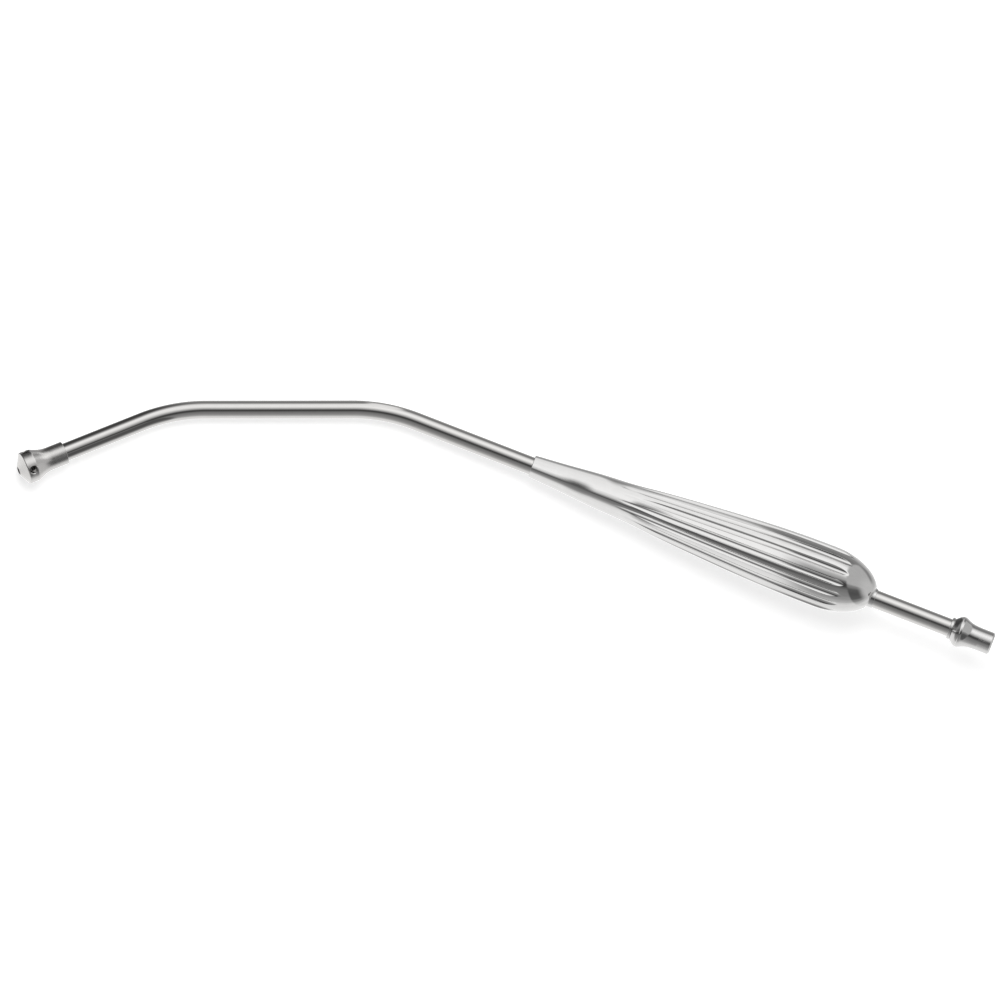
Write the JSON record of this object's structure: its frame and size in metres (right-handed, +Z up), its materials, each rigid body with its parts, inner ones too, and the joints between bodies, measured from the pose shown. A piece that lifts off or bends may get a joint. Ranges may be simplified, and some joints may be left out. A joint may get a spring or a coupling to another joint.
{
  "type": "suction tip",
  "caption": "Reusable steel suction tube with a doubly bent shaft, a drilled bulb tip, a hollow fluted grip and a turned end for hose.",
  "frame": {"origin": "centre of the overall box on the surface that the tube lies on", "axes": "+X from the tip to the hose end along the line between them, +Y towards the outside of the bends, +Z up from the surface"},
  "size_m": [0.3006, 0.0438, 0.0201],
  "materials": {
    "drawn_tube": "polished drawn stainless steel with a fine lengthwise grain",
    "satin_tip": "turned stainless steel, satin",
    "polished_grip": "mirror-polished stainless steel",
    "polished_fitting": "turned and polished stainless steel"
  },
  "bodies": {
    "root": {"suction_tube": "drawn_tube", "suction_tip": "satin_tip", "grip_shell": "polished_grip", "hose_connector": "polished_fitting"}
  },
  "joints": []
}
